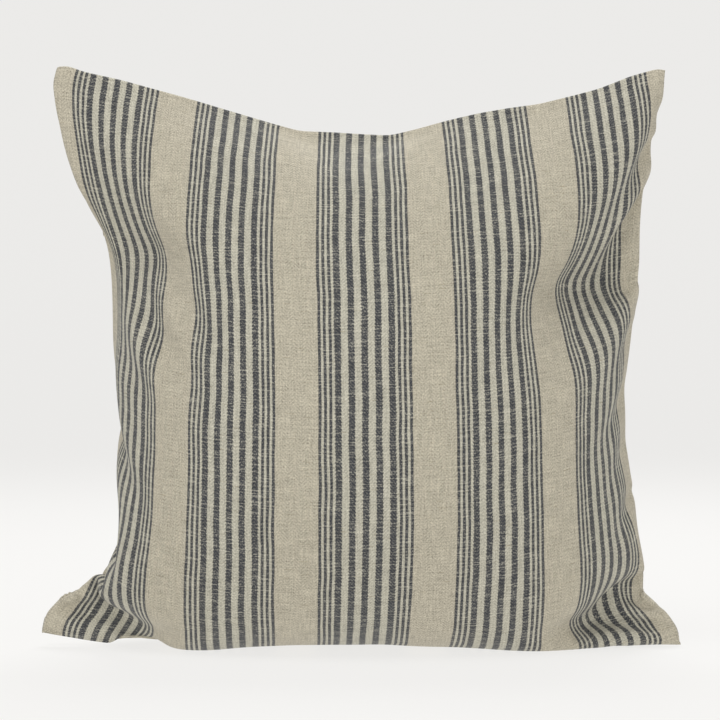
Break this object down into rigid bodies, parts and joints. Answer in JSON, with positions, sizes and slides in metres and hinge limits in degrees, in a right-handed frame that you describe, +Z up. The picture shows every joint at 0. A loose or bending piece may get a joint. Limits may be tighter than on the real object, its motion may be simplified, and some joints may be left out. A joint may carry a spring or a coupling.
{
  "type": "throw pillow",
  "caption": "Square knife-edge throw pillow in striped herringbone linen, standing on its bottom edge, with a zipped cover over a plump insert.",
  "frame": {"origin": "middle of the foot that the pillow stands on, at the bottom of its box and in its seam plane", "axes": "+X to the right along the bottom seam, front faces -Y, +Z up"},
  "size_m": [0.492, 0.228, 0.452],
  "materials": {
    "cover_fabric": "herringbone linen and cotton, natural with charcoal woven stripes",
    "casing_fabric": "close white cambric",
    "filling": "loose feather and fibre",
    "thread": "spun sewing thread, natural",
    "casing_thread": "spun sewing thread, white",
    "label": "satin woven tape, blank",
    "zip_tape": "woven zip tape, natural",
    "zip_coil": "polyester coil, satin",
    "zip_metal": "enamelled zip metal, satin"
  },
  "bodies": {
    "cushion": {"front_panel": "cover_fabric", "back_panel": "cover_fabric", "insert_casing_front": "casing_fabric", "insert_casing_back": "casing_fabric", "insert_filling": "filling", "seam_needle_thread": "thread", "seam_bobbin_thread": "thread", "overlock_thread_front": "thread", "overlock_thread_back": "thread", "insert_edge_thread": "casing_thread", "care_label": "label", "zip_tape_front": "zip_tape", "zip_tape_back": "zip_tape", "zip_coil_front": "zip_coil", "zip_coil_back": "zip_coil", "zip_thread_front": "thread", "zip_thread_back": "thread", "zip_bottom_stop": "zip_metal", "zip_top_stops": "zip_metal"},
    "zip_slider": {"zip_slider": "zip_metal"},
    "zip_pull": {"zip_pull": "zip_metal"}
  },
  "joints": [
    {"name": "zip_slide", "type": "slide", "parent": "cushion", "child": "zip_slider", "axis": [1, 0, 0], "range_m": [-0.3415, 0]},
    {"name": "pull_swing", "type": "hinge", "parent": "zip_slider", "child": "zip_pull", "pos_m": [0.1715, 0, 0.00417], "axis": [0, -1, 0], "range_deg": [0, 150]}
  ]
}
